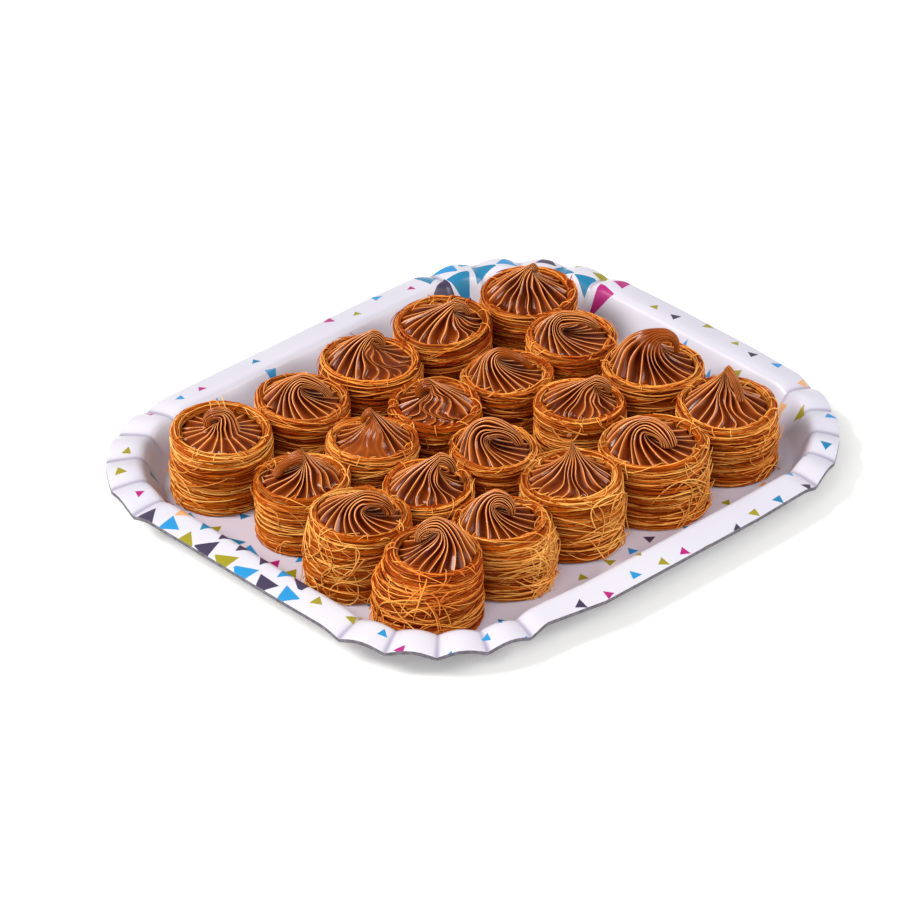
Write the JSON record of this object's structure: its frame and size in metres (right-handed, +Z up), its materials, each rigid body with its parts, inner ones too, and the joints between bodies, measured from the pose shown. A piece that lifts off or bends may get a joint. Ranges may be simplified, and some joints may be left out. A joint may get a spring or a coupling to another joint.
{
  "type": "chocolate asawer kunafa on a card tray",
  "caption": "Rectangular card tray with fluted corners holding rows of round nests of baked kataifi strands, each filled with a star-piped swirl of chocolate cream.",
  "frame": {"origin": "middle of the tray's flat underside", "axes": "+X along the tray's long side, +Y along its short side, +Z up"},
  "size_m": [0.3501, 0.3001, 0.066],
  "materials": {
    "card": "white coated card, satin, with a scattered print of small coloured triangles",
    "kataifi": "wound baked strands with a light syrup gloss",
    "cream": "glossy piped chocolate cream"
  },
  "bodies": {
    "root": {"tray": "card", "nest_01": "kataifi", "nest_02": "kataifi", "nest_03": "kataifi", "nest_04": "kataifi", "nest_05": "kataifi", "nest_06": "kataifi", "nest_07": "kataifi", "nest_08": "kataifi", "nest_09": "kataifi", "nest_10": "kataifi", "nest_11": "kataifi", "nest_12": "kataifi", "nest_13": "kataifi", "nest_14": "kataifi", "nest_15": "kataifi", "nest_16": "kataifi", "nest_17": "kataifi", "nest_18": "kataifi", "nest_19": "kataifi", "nest_20": "kataifi", "cream_01": "cream", "cream_02": "cream", "cream_03": "cream", "cream_04": "cream", "cream_05": "cream", "cream_06": "cream", "cream_07": "cream", "cream_08": "cream", "cream_09": "cream", "cream_10": "cream", "cream_11": "cream", "cream_12": "cream", "cream_13": "cream", "cream_14": "cream", "cream_15": "cream", "cream_16": "cream", "cream_17": "cream", "cream_18": "cream", "cream_19": "cream", "cream_20": "cream"}
  },
  "joints": []
}
